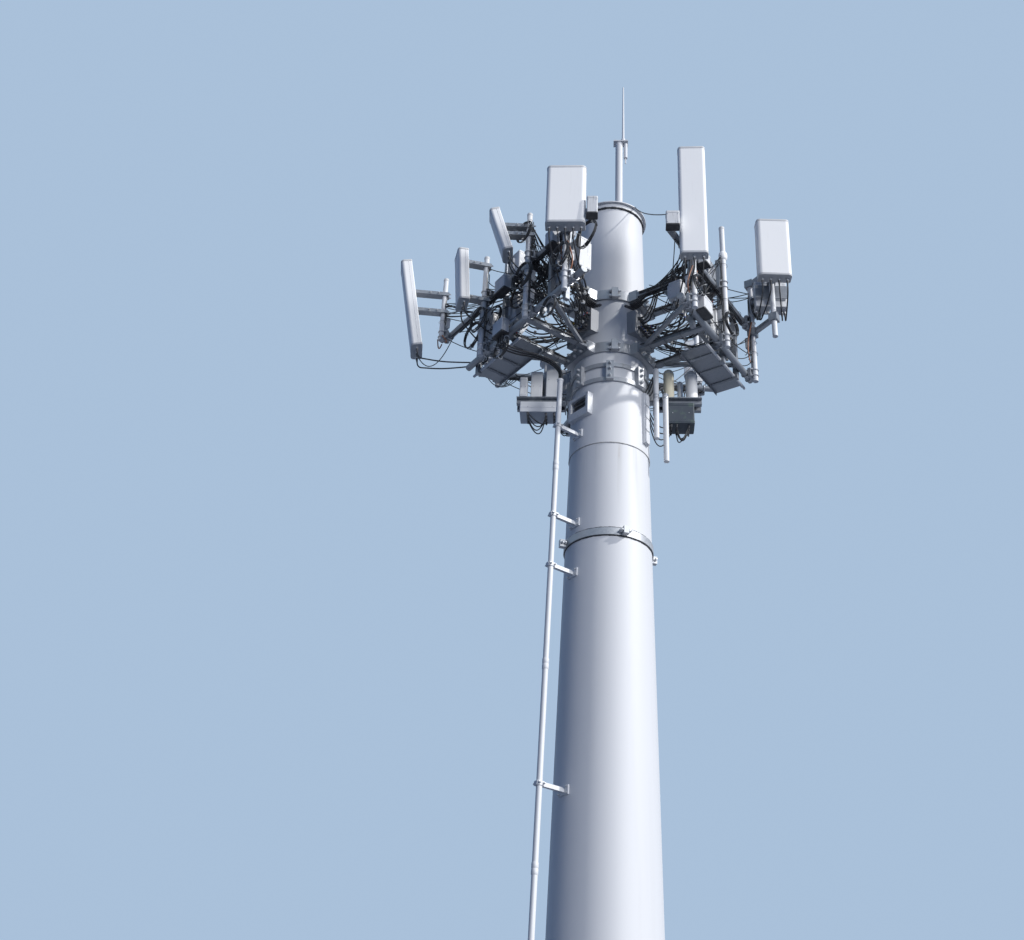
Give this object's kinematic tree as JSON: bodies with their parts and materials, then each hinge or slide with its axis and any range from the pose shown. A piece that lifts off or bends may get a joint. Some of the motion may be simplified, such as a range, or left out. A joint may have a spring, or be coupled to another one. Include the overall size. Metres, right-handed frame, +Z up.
{
  "type": "cell tower",
  "caption": "White tapered monopole cell tower with sector antennas on stand-off frames, a lower ring mount with small antennas, a stand-off conduit and a lightning rod.",
  "frame": {"origin": "centre of the base flange's underside", "axes": "+Z up along the pole; -Y towards the front, +X to the right"},
  "size_m": [4.5701, 3.8315, 17.1229],
  "materials": {
    "pole_paint": "satin white paint",
    "pipe_white": "satin white paint over zinc",
    "conduit_white": "satin white paint",
    "galvanised": "dull zinc, weathered",
    "radome_white": "smooth matt shell",
    "radio_housing": "fine textured powder coat",
    "cable_black": "matt jacket"
  },
  "bodies": {
    "root": {"back_clamps": "galvanised", "back_frame": "galvanised", "back_jumpers": "cable_black", "back_mast_pipes": "pipe_white", "back_panel_1": "radome_white", "back_panel_2": "radome_white", "back_panel_3": "radome_white", "back_radio_rails": "galvanised", "back_radios": "radio_housing", "back_trunk_cables": "cable_black", "base_flange": "galvanised", "cable_conduit": "conduit_white", "cable_entries": "pole_paint", "cable_port": "pole_paint", "conduit_brackets": "conduit_white", "left_amplifiers": "radio_housing", "left_clamps": "galvanised", "left_deck": "galvanised", "left_frame": "galvanised", "left_jumpers": "cable_black", "left_mast_pipes": "pipe_white", "left_panel_1": "radome_white", "left_panel_2": "radome_white", "left_panel_3": "radome_white", "left_panel_4": "radome_white", "left_radio_rails": "galvanised", "left_radios": "radio_housing", "left_shelf": "galvanised", "left_trunk_cables": "cable_black", "lightning_rod": "galvanised", "lower_collar": "galvanised", "lower_ring": "galvanised", "pole_lower": "pole_paint", "pole_upper": "pole_paint", "port_strip": "pole_paint", "right_amplifiers": "radio_housing", "right_clamps": "galvanised", "right_deck": "galvanised", "right_frame": "galvanised", "right_jumpers": "cable_black", "right_mast_pipes": "pipe_white", "right_outrigger": "galvanised", "right_panel_1": "radome_white", "right_panel_2": "radome_white", "right_radio_rails": "galvanised", "right_radios": "radio_housing", "right_shelf": "galvanised", "right_trunk_cables": "cable_black", "shelf_boxes": "radio_housing", "shelf_dome": "radome_white", "shelf_pipes": "pipe_white", "shelf_radomes": "radome_white", "strap_ring": "galvanised", "top_cap": "pole_paint", "top_mast": "pole_paint", "upper_collar": "galvanised", "whip_base": "pole_paint"}
  },
  "joints": []
}
